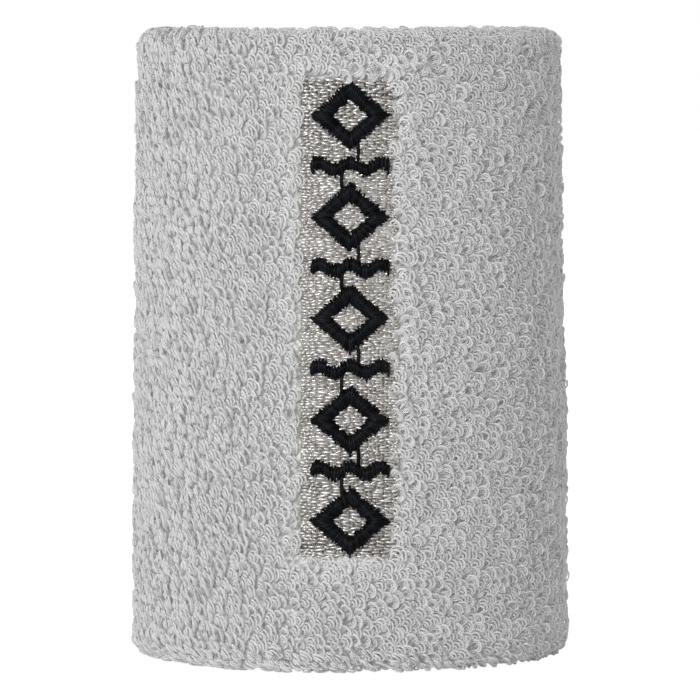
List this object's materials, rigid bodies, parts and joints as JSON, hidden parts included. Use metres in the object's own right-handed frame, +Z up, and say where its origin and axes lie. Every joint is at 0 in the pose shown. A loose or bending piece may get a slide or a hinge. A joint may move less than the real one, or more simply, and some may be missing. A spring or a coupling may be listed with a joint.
{
  "type": "sweat wristband",
  "caption": "Cylindrical terry-loop sweat wristband, folded double, with a sunken silver embroidered strip and black diamond-and-wave ornament.",
  "frame": {"origin": "centre of the lower rim, in the plane that the band stands on", "axes": "+Z up the band's axis, the way the wrist passes; the embroidered strip faces -Y; +X to the right of a viewer who faces the strip"},
  "size_m": [0.0558, 0.0558, 0.08],
  "materials": {
    "cotton_terry": "pale grey looped cotton terry, matt and soft",
    "elastic_yarn": "covered elastic yarn, off-white, matt",
    "sewing_thread": "spun polyester sewing thread, pale grey, slight sheen",
    "nonwoven_backing": "white non-woven embroidery backing, matt",
    "bobbin_thread": "white filament bobbin thread, satin",
    "silver_thread": "silver-grey filament embroidery thread, shiny",
    "black_thread": "black filament embroidery thread, satin sheen"
  },
  "bodies": {
    "root": {"terry_tube": "cotton_terry", "outer_layer_elastic": "elastic_yarn", "lower_lining_elastic": "elastic_yarn", "upper_lining_elastic": "elastic_yarn", "seam_needle_thread": "sewing_thread", "seam_looper_thread": "sewing_thread", "embroidery_backing": "nonwoven_backing", "bobbin_stitching": "bobbin_thread", "silver_fill_panel": "silver_thread", "diamond_motif_1": "black_thread", "diamond_motif_2": "black_thread", "diamond_motif_3": "black_thread", "diamond_motif_4": "black_thread", "diamond_motif_5": "black_thread", "wave_motif_1": "black_thread", "wave_motif_2": "black_thread", "wave_motif_3": "black_thread", "wave_motif_4": "black_thread", "connecting_stitch_1": "black_thread", "connecting_stitch_2": "black_thread", "connecting_stitch_3": "black_thread", "connecting_stitch_4": "black_thread", "connecting_stitch_5": "black_thread", "connecting_stitch_6": "black_thread", "connecting_stitch_7": "black_thread", "connecting_stitch_8": "black_thread"}
  },
  "joints": []
}
